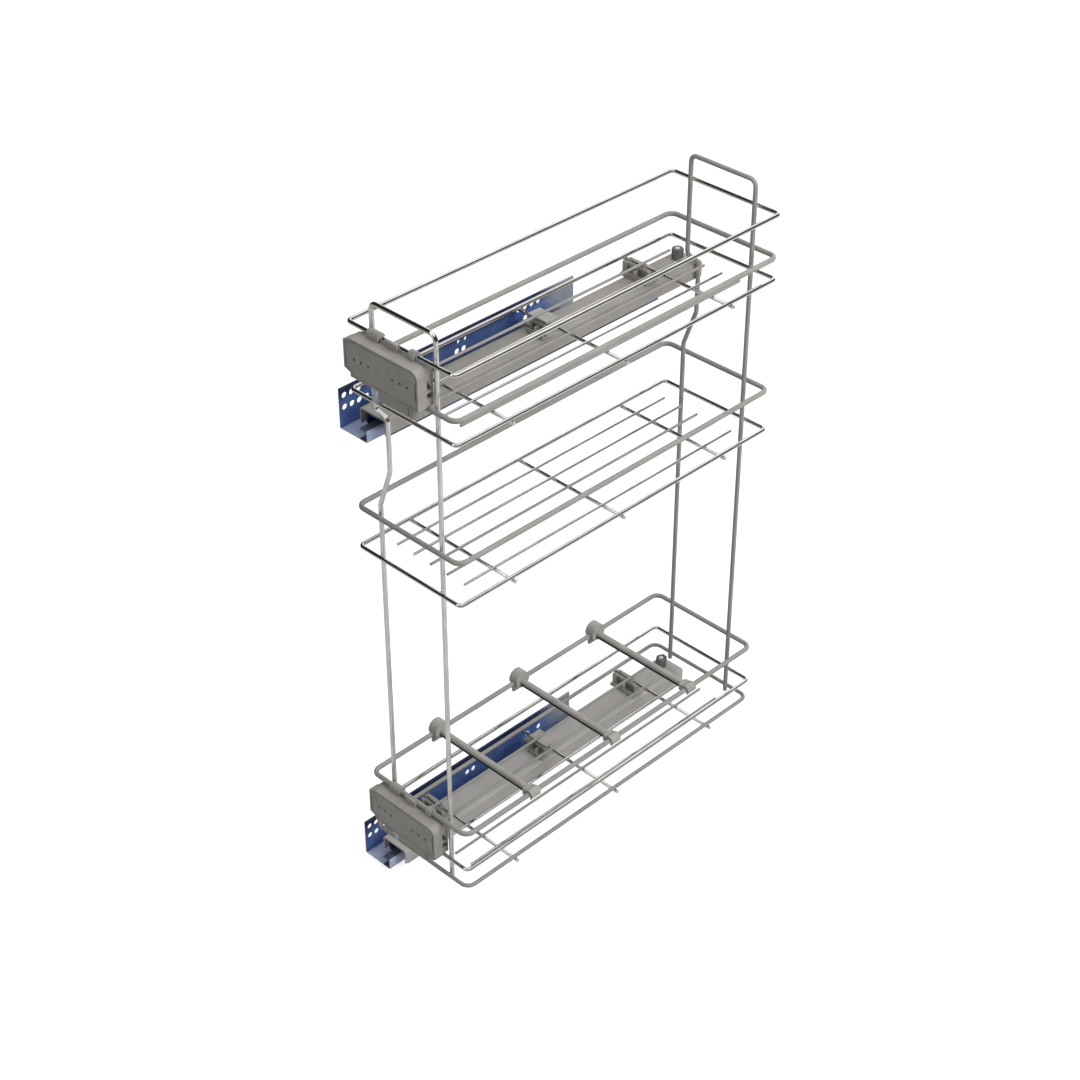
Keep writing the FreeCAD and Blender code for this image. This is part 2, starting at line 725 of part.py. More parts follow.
# Slides, clips, knobs and door brackets, one set low and one high
rim_wires = {"lower": thick_wire, "upper": ring_wire}
for level, bottom in rail_bottoms.items():
    save(level + "_cabinet_rail", cabinet_rail(bottom))
    save(level + "_slide_section", slide_section(bottom))
    save(level + "_channel", channel(bottom))
    for place, (cage, rollers) in {"inner": inner_rollers(bottom), "outer": outer_rollers(bottom)}.items():
        save(level + "_" + place + "_cage", cage)
        save(level + "_" + place + "_rollers", *rollers)
    front_row, middle_row, rear_row = cross_wire_rows
    save(level + "_clip_front", wire_clip(bottom, front_row, False))
    save(level + "_clip_middle", wire_clip(bottom, middle_row, True))
    save(level + "_clip_rear", wire_clip(bottom, rear_row, False))
    save(level + "_thumb_knob", thumb_knob(bottom))
    save(level + "_door_plate", door_plate(floors[level]))
    save(level + "_bracket_body", bracket_body(floors[level], rim_wires[level]))
    save(level + "_bracket_hook", bracket_hook(floors[level]))

# Dividers
for number, place in enumerate(("front", "middle", "rear")):
    y = divider_y(number)
    save("divider_" + place + "_bar", divider_bar(y))
    save("divider_" + place + "_head", divider_head(y))
    save("divider_" + place + "_barrel", divider_barrel(y))
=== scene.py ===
import json
import math
import bmesh
import bpy
import numpy as np
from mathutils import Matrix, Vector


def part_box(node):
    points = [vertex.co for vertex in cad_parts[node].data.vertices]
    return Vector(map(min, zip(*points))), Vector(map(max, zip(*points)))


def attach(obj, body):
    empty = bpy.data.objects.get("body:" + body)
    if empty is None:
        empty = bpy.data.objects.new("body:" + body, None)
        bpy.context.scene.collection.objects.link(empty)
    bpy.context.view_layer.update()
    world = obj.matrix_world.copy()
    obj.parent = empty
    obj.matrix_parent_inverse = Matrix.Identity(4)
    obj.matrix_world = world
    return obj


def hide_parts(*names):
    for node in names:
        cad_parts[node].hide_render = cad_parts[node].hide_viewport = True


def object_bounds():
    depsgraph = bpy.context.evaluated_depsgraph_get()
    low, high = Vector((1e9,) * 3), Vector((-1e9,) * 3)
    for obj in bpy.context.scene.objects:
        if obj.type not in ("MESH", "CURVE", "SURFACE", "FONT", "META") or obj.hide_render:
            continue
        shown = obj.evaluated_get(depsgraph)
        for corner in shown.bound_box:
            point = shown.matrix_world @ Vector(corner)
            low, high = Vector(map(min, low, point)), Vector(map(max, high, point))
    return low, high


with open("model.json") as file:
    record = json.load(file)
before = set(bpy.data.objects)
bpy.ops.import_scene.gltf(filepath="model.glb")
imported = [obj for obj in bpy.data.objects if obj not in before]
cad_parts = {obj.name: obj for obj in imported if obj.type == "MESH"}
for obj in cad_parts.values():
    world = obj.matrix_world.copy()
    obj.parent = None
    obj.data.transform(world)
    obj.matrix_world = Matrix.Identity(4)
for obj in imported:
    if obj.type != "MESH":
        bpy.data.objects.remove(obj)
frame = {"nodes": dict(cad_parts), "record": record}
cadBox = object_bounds()
mm = 0.001
nodes = frame["nodes"]
print("stage 1: frame loaded,", len(nodes), "nodes")


# Small helpers: colour, shader nodes, boxes in millimetres

def linearColour(hexText):
    # sRGB hex to linear: c / 12.92 below 0.04045, else ((c + 0.055) / 1.055) to the power 2.4
    srgb = np.array([int(hexText[i:i + 2], 16) for i in (1, 3, 5)]) / 255
    linear = np.where(srgb <= 0.04045, srgb / 12.92, ((srgb + 0.055) / 1.055) ** 2.4)
    return (*linear.tolist(), 1.0)


def addNode(tree, kind, settings=None, links=None):
    # settings: socket name or number, or node attribute; links: input socket -> output socket
    node = tree.nodes.new(kind)
    for key, value in (settings or {}).items():
        if isinstance(key, str) and hasattr(node, key):
            setattr(node, key, value)
        else:
            node.inputs[key].default_value = value
    for key, source in (links or {}).items():
        tree.links.new(source, node.inputs[key])
    return node


def newMaterial(name, **settings):
    # A Principled surface with its fixed values set straight on the sockets.
    material = bpy.data.materials.new(name)
    material.use_nodes = True
    tree = material.node_tree
    shader = tree.nodes["Principled BSDF"]
    for key, value in settings.items():
        shader.inputs[key.replace("_", " ")].default_value = value
    place = tree.nodes.new("ShaderNodeTexCoord").outputs["Object"]
    return material, tree, shader, place


def boxMm(node):
    low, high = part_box(node)
    return np.array(low) / mm, np.array(high) / mm


# Materials

def mottled(tree, place, sizeMm, dark, light, detail=3.0, spread=(0.35, 0.65), stretch=(1, 1, 1)):
    # A colour that wanders between two tones in patches of the given size.
    spot = addNode(tree, "ShaderNodeMapping", {"Scale": stretch}, {"Vector": place})
    noise = addNode(tree, "ShaderNodeTexNoise", {"Scale": 1 / (sizeMm * mm), "Detail": detail},
                    {"Vector": spot.outputs[0]})
    ramp = addNode(tree, "ShaderNodeValToRGB", {}, {"Fac": noise.outputs["Fac"]})
    ramp.color_ramp.elements[0].position = spread[0]
    ramp.color_ramp.elements[1].position = spread[1]
    ramp.color_ramp.elements[0].color = linearColour(dark)
    ramp.color_ramp.elements[1].color = linearColour(light)
    return ramp.outputs["Color"], noise.outputs["Fac"]


def grain(tree, place, shader, sizeMm, depthMm, detail=2.0):
    # Surface grain: a noise of the given grain size pushed out by the given depth.
    noise = addNode(tree, "ShaderNodeTexNoise", {"Scale": 1 / (sizeMm * mm), "Detail": detail},
                    {"Vector": place})
    bump = addNode(tree, "ShaderNodeBump", {"Strength": 1.0, "Distance": depthMm * mm},
                   {"Height": noise.outputs["Fac"]})
    tree.links.new(bump.outputs["Normal"], shader.inputs["Normal"])
    return noise.outputs["Fac"]


# A noise stays between these for the most part.
noiseFrom, noiseTo = 0.3, 0.7


def unevenGloss(tree, shader, fac, low, high):
    # Roughness that follows a noise from low to high.
    span = addNode(tree, "ShaderNodeMapRange",
                   {"From Min": noiseFrom, "From Max": noiseTo, "To Min": low, "To Max": high}, {"Value": fac})
    tree.links.new(span.outputs[0], shader.inputs["Roughness"])


powderCoatLook = {"dark": "#92918d", "light": "#9c9b97", "patchMm": 40, "peelMm": 1.4, "peelDepthMm": 0.02,
                  "gloss": (0.40, 0.50), "coat": 0.15, "coatGloss": 0.3, "refraction": 1.5}


def makePowderCoat():
    # Powder coat, sprayed dry and baked: even satin grey with a faint orange peel.
    look = powderCoatLook
    material, tree, shader, place = newMaterial("greyPowderCoat", IOR=look["refraction"],
                                                Coat_Weight=look["coat"], Coat_Roughness=look["coatGloss"])
    colour = mottled(tree, place, look["patchMm"], look["dark"], look["light"])[0]
    tree.links.new(colour, shader.inputs["Base Color"])
    peel = grain(tree, place, shader, look["peelMm"], look["peelDepthMm"])
    unevenGloss(tree, shader, peel, *look["gloss"])
    return material


chromeLook = {"dark": "#e4e2de", "light": "#f6f5f2", "patchMm": 25, "waveMm": 6.0, "waveDepthMm": 0.004,
              "gloss": (0.04, 0.10)}


def makeChrome():
    # Bright chrome plate over drawn wire: a clear mirror, only just wavy from the drawing.
    look = chromeLook
    material, tree, shader, place = newMaterial("chromePlate", Metallic=1.0)
    colour = mottled(tree, place, look["patchMm"], look["dark"], look["light"])[0]
    tree.links.new(colour, shader.inputs["Base Color"])
    wave = grain(tree, place, shader, look["waveMm"], look["waveDepthMm"])
    unevenGloss(tree, shader, wave, *look["gloss"])
    return material


# Colours are pairs of dark and light; a pair of places gives where a change of colour begins and ends.
# Painted reflection: the web's nearly white tone, with little metal in it, stands in for bright surroundings
# mirrored in the zinc.
zincLook = {"web": ("#b4c4e6", "#e0e7f6"), "lipTopShade": ("#4a5064", "#646b84"), "slide": ("#3d5080", "#6f86b4"),
            "flange": ("#5c74b4", "#7f9ddc"), "flangeTopShade": ("#2c3858", "#465680"),
            "reflectionBlue": ("#6284d8", "#86a6ea"), "reflectionSteel": ("#b0bacb", "#ccd5e2"),
            "patchMm": 55, "patchSpread": (0.30, 0.72), "patchDetail": 4.0, "patchStretch": (1, 0.25, 1),
            "flangePatchMm": 14, "flangeSpread": (0.2, 0.9), "flangeDetail": 5.0,
            "flangeUpToMm": (2.2, 3.2), "reflectionBlueAtMm": (70, 105), "reflectionSteelAtMm": (128, 160), "topShadeAtMm": (6, 18),
            "lipShadeFromMm": (28.2, 29.2), "lipShadeToMm": (38.0, 38.8), "levelStepMm": 548.8, "railBottomMm": -21.5,
            "flangeMetal": 0.5, "webMetal": 0.1, "rollMm": 1.2, "rollDepthMm": 0.006, "gloss": (0.22, 0.38)}


# Where one colour is laid over another on a rail, in this order: the colour under, the one over, and the places
# between which it comes in.
# Painted shade: each rail's flange is darker towards its top, from the set height up.
railLayers = (("flange", "reflectionBlue", "reflectionBlueAtMm"), ("flange", "flangeTopShade", "topShadeAtMm"),
              ("flange", "reflectionSteel", "reflectionSteelAtMm"), ("offFlange", "lipTopShade", "lipShadeFromMm"),
              ("offFlange", "web", "lipShadeToMm"), ("flange", "offFlange", "flangeUpToMm"))


def makeBlueZinc(name, onRail):
    # Blue passivated zinc on rolled steel: a tinted, slightly cloudy metal with fine rolling streaks. On a rail
    # the blue tint sits on the wall flange; its lighter blue, then pale steel, towards the rear is painted
    # reflection.
    look = zincLook
    material, tree, shader, place = newMaterial(name, Metallic=look["flangeMetal"])
    plain = look["web"] if onRail else look["slide"]
    colour, fac = mottled(tree, place, look["patchMm"], *plain, look["patchDetail"], look["patchSpread"],
                          look["patchStretch"])
    if onRail:
        colour, metal = railColour(tree, place, colour)
        tree.links.new(metal, shader.inputs["Metallic"])
    tree.links.new(colour, shader.inputs["Base Color"])
    grain(tree, place, shader, look["rollMm"], look["rollDepthMm"])
    unevenGloss(tree, shader, fac, *look["gloss"])
    return material


def railColour(tree, place, web):
    # The rail's colour by place, from that of its web, whose pale tone is painted reflection: the wall flange,
    # dark along its top (painted shade), then lighter blue, then pale steel towards the rear (painted
    # reflection), and the dark top of the lip (painted shade). Also how metallic it is, which is less off the
    # flange.
    look = zincLook
    spot = addNode(tree, "ShaderNodeSeparateXYZ", {}, {0: place})
    # The upper rail's height is brought down to the lower one's.
    bottom = look["railBottomMm"] * mm
    height = addNode(tree, "ShaderNodeMath",
                     {"operation": "WRAP", 1: bottom + look["levelStepMm"] * mm, 2: bottom},
                     {0: spot.outputs["Z"]}).outputs[0]
    places = {"flangeUpToMm": spot.outputs["X"], "reflectionBlueAtMm": spot.outputs["Y"], "reflectionSteelAtMm": spot.outputs["Y"],
              "topShadeAtMm": height, "lipShadeFromMm": spot.outputs["X"], "lipShadeToMm": spot.outputs["X"]}
    share = {}
    for key, along in places.items():
        # 0 at the first place, 1 at the second, smooth between.
        share[key] = addNode(tree, "ShaderNodeMapRange",
                             {"interpolation_type": "SMOOTHSTEP", "From Min": look[key][0] * mm,
                              "From Max": look[key][1] * mm}, {"Value": along}).outputs[0]
    tone = {"web": web, "offFlange": web}
    # The lip's dark top is painted shade, as is the flange's darker top.
    for key in ("flange", "flangeTopShade", "lipTopShade"):
        tone[key] = mottled(tree, place, look["flangePatchMm"], *look[key], look["flangeDetail"],
                            look["flangeSpread"])[0]
    # Painted reflection: towards the flange's rear it turns lighter blue, then pale steel.
    for key in ("reflectionBlue", "reflectionSteel"):
        tone[key] = mottled(tree, place, look["patchMm"], *look[key])[0]
    for under, over, where in railLayers:
        tone[under] = addNode(tree, "ShaderNodeMix", {"data_type": "RGBA"},
                              {0: share[where], 6: tone[under], 7: tone[over]}).outputs[2]
    metal = addNode(tree, "ShaderNodeMapRange", {"To Min": look["flangeMetal"], "To Max": look["webMetal"]},
                    {"Value": share["flangeUpToMm"]})
    return tone["flange"], metal.outputs[0]


paintLook = {"dark": "#9b9791", "light": "#a7a39d", "litLowerDark": "#b2afac", "litLowerLight": "#bebbb8",
             "litLowerUpToMm": (200, 300), "patchMm": 60, "peelMm": 1.6, "peelDepthMm": 0.015,
             "gloss": (0.42, 0.52), "coat": 0.1, "coatGloss": 0.35, "refraction": 1.5}


def makeSheetPaint():
    # Stoved grey paint on the drawer channels: satin, smoother than the powder coat. The lower one is painted
    # paler, painted light for the brighter light it gets.
    look = paintLook
    material, tree, shader, place = newMaterial("greyStovedPaint", IOR=look["refraction"],
                                                Coat_Weight=look["coat"], Coat_Roughness=look["coatGloss"])
    upper = mottled(tree, place, look["patchMm"], look["dark"], look["light"])[0]
    # Painted light: the paler tone below the set height.
    lower = mottled(tree, place, look["patchMm"], look["litLowerDark"], look["litLowerLight"])[0]
    spot = addNode(tree, "ShaderNodeSeparateXYZ", {}, {0: place})
    share = addNode(tree, "ShaderNodeMapRange", {"From Min": look["litLowerUpToMm"][0] * mm,
                    "From Max": look["litLowerUpToMm"][1] * mm}, {"Value": spot.outputs["Z"]})
    colour = addNode(tree, "ShaderNodeMix", {"data_type": "RGBA"}, {0: share.outputs[0], 6: lower, 7: upper})
    tree.links.new(colour.outputs[2], shader.inputs["Base Color"])
    peel = grain(tree, place, shader, look["peelMm"], look["peelDepthMm"])
    unevenGloss(tree, shader, peel, *look["gloss"])
    return material


mouldedLook = {"patchMm": 18, "sparkMm": 0.8, "sparkDepthMm": 0.02, "sparkDetail": 4.0, "refraction": 1.49}
# Each plastic's dark and light tone, and its roughness from and to.
plasticTones = {"bracketPolyamide": ("#9a9792", "#a5a29c", (0.5, 0.6)),  # matt, with soft broad highlights
                "clipAcetal": ("#a09e99", "#aca9a4", (0.42, 0.52)),  # a little waxy
                "knobPolyamide": ("#6c6f6d", "#828582", (0.20, 0.30)),  # dark, with a sharp shine on each rib
                "cageAcetal": ("#dcdcd8", "#e6e6e2", (0.5, 0.6)),  # milky and dull
                # The white acetal is the knob pin's white, a painted highlight on the knob's top.
                "highlightWhiteAcetal": ("#f0f0ee", "#fafaf8", (0.3, 0.4)),  # white, half glossy
                # The near-black strip material is painted shade: it gives the dark line under each divider bar.
                "shadeStripBlack": ("#161718", "#1e1f20", (0.6, 0.7))}  # nearly black, hardly any shine


def makeMoulded(name, dark, light, gloss):
    # Injection moulded plastic: spark eroded grain, tone almost even, no metal in it.
    look = mouldedLook
    material, tree, shader, place = newMaterial(name, IOR=look["refraction"])
    colour = mottled(tree, place, look["patchMm"], dark, light)[0]
    tree.links.new(colour, shader.inputs["Base Color"])
    spark = grain(tree, place, shader, look["sparkMm"], look["sparkDepthMm"], look["sparkDetail"])
    unevenGloss(tree, shader, spark, *gloss)
    return material


plainMetalLook = {"patchMm": 6}
# Each plain metal's dark and light tone, and its roughness from and to.
metalTones = {"groundSteel": ("#b4b6ba", "#c9cbce", (0.12, 0.2)),  # clear shine
              "brightZinc": ("#aab3c2", "#c6ccd6", (0.2, 0.32))}  # bluish, softer shine


def makeSteel(name, dark, light, gloss):
    # Steel ground bare or plated with bright zinc: a metal shine, slightly cloudy.
    material, tree, shader, place = newMaterial(name, Metallic=1.0)
    colour, fac = mottled(tree, place, plainMetalLook["patchMm"], dark, light)
    tree.links.new(colour, shader.inputs["Base Color"])
    unevenGloss(tree, shader, fac, *gloss)
    return material


powderCoat = makePowderCoat()
chromePlate = makeChrome()
railZinc = makeBlueZinc("railPassivatedZinc", True)
slideZinc = makeBlueZinc("slidePassivatedZinc", False)
sheetPaint = makeSheetPaint()
plastics = {name: makeMoulded(name, *tones) for name, tones in plasticTones.items()}
metals = {name: makeSteel(name, *tones) for name, tones in metalTones.items()}
slotMaterials = {"grey_wire": powderCoat, "bright_wire": chromePlate, "zinc_sheet": railZinc,
                 "grey_sheet": sheetPaint, "bracket_plastic": plastics["bracketPolyamide"],
                 "clip_plastic": plastics["clipAcetal"], "knob_plastic": plastics["knobPolyamide"],
                 "cage_plastic": plastics["cageAcetal"], "roller_steel": metals["groundSteel"],
                 "zinc_hook": metals["brightZinc"]}
nodeSlots = {entry["node"]: entry["material_slot"] for entry in frame["record"]["subparts"]}
nodeBodies = {node: body for body, members in frame["record"]["behaviour"]["bodies"].items() for node in members}


def finishOf(node):
    # The sections inside the slides are zinc too, but greyer than the rails.
    return slideZinc if node.endswith("slide_section") else slotMaterials[nodeSlots[node]]


for name, obj in nodes.items():
    obj.data.materials.clear()
    obj.data.materials.append(finishOf(name))
print("stage 2: materials made")


# Mesh tools: every surface is a grid of two parameters worked out as one array

def gridFaces(rows, columns, closedRows=False, closedColumns=True):
    # Quads between neighbouring rows and columns of a grid, with the ends joined where it closes.
    r = np.arange(rows if closedRows else rows - 1)
    c = np.arange(columns if closedColumns else columns - 1)
    a, b = np.meshgrid(r, c, indexing="ij")
    a, b = a.ravel(), b.ravel()
    nextA, nextB = (a + 1) % rows, (b + 1) % columns
    return np.stack([a * columns + b, a * columns + nextB, nextA * columns + nextB, nextA * columns + b], 1)


def joined(shapes):
    # Several (points, faces) in one, each face list moved on by the points before it.
    points, faces, start = [], [], 0
    for somePoints, someFaces in shapes:
        points.append(somePoints)
        faces += [face + start for face in someFaces]
        start += len(somePoints)
    return np.concatenate(points), faces


sweptEdgeDegrees = 35


def addPiece(name, shape, node, finish=None):
    # Puts a shape given in millimetres in the scene in place of a CAD node, on its body, with the node's finish
    # or, where one is given, another.
    points, faces = shape
    mesh = bpy.data.meshes.new(name)
    mesh.from_pydata((points * mm).tolist(), [], [f for block in faces for f in block.tolist()])
    mesh.update()
    obj = bpy.data.objects.new(name, mesh)
    bpy.context.scene.collection.objects.link(obj)
    finishPiece(obj, node, sweptEdgeDegrees, finish)


def finishPiece(obj, node, edgeDegrees, finish=None):
    # Edges that turn by more than the given angle stay sharp.
    obj.data.materials.clear()
    obj.data.materials.append(finish or finishOf(node))
    obj.data.shade_smooth()
    obj.data.set_sharp_from_angle(angle=math.radians(edgeDegrees))
    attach(obj, nodeBodies[node])
    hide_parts(node)


# Wires

up = (0, 0, 1)
wireLook = {"sides": 20, "arcStepDegrees": 7.5, "leastArcSteps": 3, "endRoundMm": 0.45,
            "endSteps": (0.0, 0.35, 1.0), "beadColumns": 12, "beadRows": 7, "beadReach": 1.2}


def bentLine(corners, bends, closed=False):
    # Straight runs joined by tangent arcs, as points and headings: on an arc of radius r that turns from
    # heading u to heading v, point = start + r (sin a u + (1 - cos a) n), heading = cos a u + sin a n.
    corners = [np.array(corner, float) for corner in corners]
    count = len(corners)
    points, headings = [], []
    if not closed:
        heading = corners[1] - corners[0]
        points.append(corners[0][None])
        headings.append((heading / np.linalg.norm(heading))[None])
    for k, r in zip(range(count) if closed else range(1, count - 1), bends):
        u = corners[k] - corners[k - 1]
        v = corners[(k + 1) % count] - corners[k]
        u, v = u / np.linalg.norm(u), v / np.linalg.norm(v)
        turn = math.acos(np.clip(u @ v, -1, 1))
        n = (v - (u @ v) * u) / math.sin(turn)
        steps = max(wireLook["leastArcSteps"], math.ceil(math.degrees(turn) / wireLook["arcStepDegrees"]))
        a = np.linspace(0, turn, steps + 1)[:, None]
        start = corners[k] - r * math.tan(turn / 2) * u
        points.append(start + r * (np.sin(a) * u + (1 - np.cos(a)) * n))
        headings.append(np.cos(a) * u + np.sin(a) * n)
    if not closed:
        heading = corners[-1] - corners[-2]
        points.append(corners[-1][None])
        headings.append((heading / np.linalg.norm(heading))[None])
    return np.concatenate(points), np.concatenate(headings)


def tube(points, headings, radii, flat, closed=False):
    # A round tube along a flat line: point + radius (cos t side + sin t flat), with side = flat x heading.
    flat = np.array(flat, float)
    t = np.linspace(0, 2 * math.pi, wireLook["sides"], endpoint=False)
    side = np.cross(flat, headings)
    circle = np.cos(t)[None, :, None] * side[:, None] + np.sin(t)[None, :, None] * flat
    surface = points[:, None] + np.broadcast_to(radii, len(points))[:, None, None] * circle
    rows, columns = surface.shape[:2]
    faces = [gridFaces(rows, columns, closed)]
    grid = surface.reshape(-1, 3)
    if closed:
        return grid, faces
    # Each end closes in a fan about a middle point.
    grid = np.concatenate([grid, points[:1], points[-1:]])
    ring = np.arange(columns)
    nextRing = (ring + 1) % columns
    firstMiddle = np.full(columns, rows * columns)
    last = (rows - 1) * columns
    faces.append(np.stack([nextRing, ring, firstMiddle], 1))
    faces.append(np.stack([last + ring, last + nextRing, firstMiddle + 1], 1))
    return grid, faces


def roundedEnds(points, headings, radius):
    # A cut wire's end has its edge broken by a quarter circle of radius e: at s from the end the wire's radius
    # is R - e + root of (e squared - (e - s) squared).
    e = wireLook["endRoundMm"]
    steps = np.array(wireLook["endSteps"]) * e
    shrink = radius - e + np.sqrt(np.maximum(e * e - (e - steps) ** 2, 0))
    count = len(steps)
    first = points[0] + steps[:, None] * headings[0]
    last = points[-1] - steps[::-1, None] * headings[-1]
    allPoints = np.concatenate([first, points[1:-1], last])
    allHeadings = np.concatenate([np.repeat(headings[:1], count, 0), headings[1:-1],
                                  np.repeat(headings[-1:], count, 0)])
    radii = np.concatenate([shrink, np.full(len(points) - 2, radius), shrink[::-1]])
    return allPoints, allHeadings, radii


def straightWire(start, end, diameter, flat):
    # A round bar from start to end: point along the line + radius (cos t side + sin t flat), ends rounded.
    points, headings = bentLine([start, end], [])
    return tube(*roundedEnds(points, headings, diameter / 2), flat)


def weldBead(centre, halfSizes):
    # A squashed ball: centre + (a cos v cos u, b cos v sin u, c sin v), flat where v ends short of its poles.
    rows, columns = wireLook["beadRows"], wireLook["beadColumns"]
    u = np.linspace(0, 2 * math.pi, columns, endpoint=False)
    v = np.linspace(-wireLook["beadReach"], wireLook["beadReach"], rows)[:, None]
    ball = np.stack([np.cos(v) * np.cos(u), np.cos(v) * np.sin(u), np.sin(v) + 0 * u], 2)
    grid = (np.array(centre) + ball * np.array(halfSizes)).reshape(-1, 3)
    ring = np.arange(columns)
    bottom = ring[::-1][None]
    top = ((rows - 1) * columns + ring)[None]
    return grid, [gridFaces(rows, columns), bottom, top]


ringLook = {"thickCornerMm": 9.5, "thinCornerMm": 5.0, "lowestFloorCornerMm": 10.0,
            "thickFromMm": 5.0, "weldMm": (2.6, 1.1, 1.7)}
legLow, legHigh = boxMm("front_frame_loop")
legRadius = (legHigh[1] - legLow[1]) / 2
legsX = (legLow[0] + legRadius, legHigh[0] - legRadius)


def makeRing(node):
    # A round wire along a rectangle whose corners are arcs, with a weld where each frame leg touches it.
    low, high = boxMm(node)
    diameter = high[2] - low[2]
    corner = ringLook["thickCornerMm"] if diameter > ringLook["thickFromMm"] else ringLook["thinCornerMm"]
    corner = ringLook["lowestFloorCornerMm"] if node == "lowest_floor_ring" else corner
    z = (low[2] + high[2]) / 2
    far, front = low[:2] + diameter / 2
    near, rear = high[:2] - diameter / 2
    line = bentLine([(near, front, z), (near, rear, z), (far, rear, z), (far, front, z)], [corner] * 4, True)
    shapes = [tube(*line, diameter / 2, up, True)]
    shapes += [weldBead((x, y, z), ringLook["weldMm"]) for x in legsX
               for y in (front + diameter / 2, rear - diameter / 2)]
    addPiece(node + "_wire", joined(shapes), node)


for node in ("top_rim_ring", "top_middle_ring", "top_floor_ring", "middle_rim_ring", "middle_floor_ring",
             "lowest_rim_ring", "lowest_middle_ring", "lowest_floor_ring"):
    makeRing(node)

frameLook = {"cornerMm": 7.5, "crankInMm": 16.05, "crankBelowTopMm": 114.3, "crankSlopeMm": 3.6,
             "crankStraightMm": 59.4, "crankReturnMm": 45.0, "tightMm": 5.0, "easyMm": 9.0}


def makeFrameLoop(node):
    # A round wire along a bent line: up, over the basket and down again, with an arc at each corner, and the leg
    # nearest the wall cranked round the channel.
    low, high = boxMm(node)
    y = (low[1] + high[1]) / 2
    radius = (high[1] - low[1]) / 2
    far, near, foot, head = low[0] + radius, high[0] - radius, low[2], high[2] - radius
    look = frameLook
    inner = far + look["crankInMm"]
    crankTop = head - look["crankBelowTopMm"]
    crankLow = crankTop - look["crankSlopeMm"] - look["crankStraightMm"]
    corners = [(far, y, foot), (far, y, crankLow - look["crankReturnMm"]), (inner, y, crankLow),
               (inner, y, crankTop - look["crankSlopeMm"]), (far, y, crankTop), (far, y, head),
               (near, y, head), (near, y, foot)]
    bends = [look[key] for key in ("easyMm", "easyMm", "tightMm", "tightMm", "cornerMm", "cornerMm")]
    points, headings = bentLine(corners, bends)
    acrossLoop = (0, 1, 0)
    addPiece(node + "_wire", tube(*roundedEnds(points, headings, radius), acrossLoop), node)


makeFrameLoop("front_frame_loop")
makeFrameLoop("rear_frame_loop")

floorLook = {"spacingMm": 24.0, "crossWires": 3, "weldMm": (1.5, 1.5, 1.1), "ringWeldMm": (1.6, 2.2, 1.2),
             "top": {"grey": (-2, 0, 2), "bright": (-1, 1)},
             "middle": {"grey": (0, 1), "bright": (-2, -1, 2)},
             "lowest": {"grey": (-2, -1, 1), "bright": (0, 2)}}


def makeFloor(basket):
    # Cross wires under the floor ring, evenly from end to end, and the wires along the basket welded on top of
    # them, each at middle + spacing times its number.
    low, high = boxMm(basket + "_cross_wires")
    radius = (high[2] - low[2]) / 2
    z = (low[2] + high[2]) / 2
    rows = np.linspace(low[1] + radius, high[1] - radius, floorLook["crossWires"])
    middle = (low[0] + high[0]) / 2
    ringLow, ringHigh = boxMm(basket + "_floor_ring")
    ringRadius = (ringHigh[2] - ringLow[2]) / 2
    crossWires = [straightWire((low[0], y, z), (high[0], y, z), 2 * radius, up) for y in rows]
    crossWires += [weldBead((x, y, z + radius), floorLook["ringWeldMm"]) for y in rows
                   for x in (ringLow[0] + ringRadius, ringHigh[0] - ringRadius)]
    for finish in ("grey", "bright"):
        node = basket + "_floor_wires_" + finish
        wireLow, wireHigh = boxMm(node)
        wireZ = (wireLow[2] + wireHigh[2]) / 2
        thick = wireHigh[2] - wireLow[2]
        places = [middle + floorLook["spacingMm"] * k for k in floorLook[basket][finish]]
        wires = [straightWire((x, wireLow[1], wireZ), (x, wireHigh[1], wireZ), thick, up) for x in places]
        wires += [weldBead((x, y, wireZ - thick / 2), floorLook["weldMm"]) for x in places for y in rows]
        addPiece(node + "_set", joined(wires), node)
    addPiece(basket + "_cross_wire_set", joined(crossWires), basket + "_cross_wires")


for basket in ("top", "middle", "lowest"):
    makeFloor(basket)
print("stage 3: wires made")


# Folded sheet and moulded pieces: the CAD form, merged and with its edges broken

softLook = {"mergeMm": 0.02, "flatDegrees": 1, "edgeDegrees": 40}


def softenedCopy(node, name, bevelMm, segments=2):
    # The CAD mesh with its doubled points merged, its flat faces joined and its edges broken.
    mesh = nodes[node].data.copy()
    mesh.name = name
    obj = bpy.data.objects.new(name, mesh)
    bpy.context.scene.collection.objects.link(obj)
    work = bmesh.new()
    work.from_mesh(mesh)
    bmesh.ops.remove_doubles(work, verts=work.verts, dist=softLook["mergeMm"] * mm)
    bmesh.ops.dissolve_limit(work, angle_limit=math.radians(softLook["flatDegrees"]), verts=work.verts,
                             edges=work.edges)
    work.to_mesh(mesh)
    work.free()
    bevel = obj.modifiers.new("brokenEdges", "BEVEL")
    bevel.width = bevelMm * mm
    bevel.segments = segments
    bevel.limit_method = "ANGLE"
    bevel.angle_limit = math.radians(softLook["edgeDegrees"])
    bevel.harden_normals = True
    finishPiece(obj, node, softLook["edgeDegrees"])


brokenEdgesMm = {"cabinet_rail": 0.15, "slide_section": 0.15, "channel": 0.15, "clip_front": 0.4,
                 "clip_middle": 0.4, "clip_rear": 0.4, "door_plate": 0.5, "bracket_body": 0.5,
                 "bracket_hook": 0.2, "thumb_knob": 0.25}
for level in ("lower", "upper"):
    for part, bevelMm in brokenEdgesMm.items():
        softenedCopy(level + "_" + part, level + "_" + part + "_finished", bevelMm)

barLook = {"stripInsetMm": 0.4, "stripHeightMm": 3.6, "stripSinkMm": 0.6, "fullness": 2.5, "steps": 28}


def carriedAlongX(profile, fromX, toX):
    # A closed profile in Y and Z, counterclockwise seen from +X, drawn from one X to another with flat ends.
    count = len(profile)
    ends = [np.column_stack([np.full(count, x), profile]) for x in (fromX, toX)]
    ring = np.arange(count)
    return np.concatenate(ends), [gridFaces(2, count), ring[::-1][None], (count + ring)[None]]


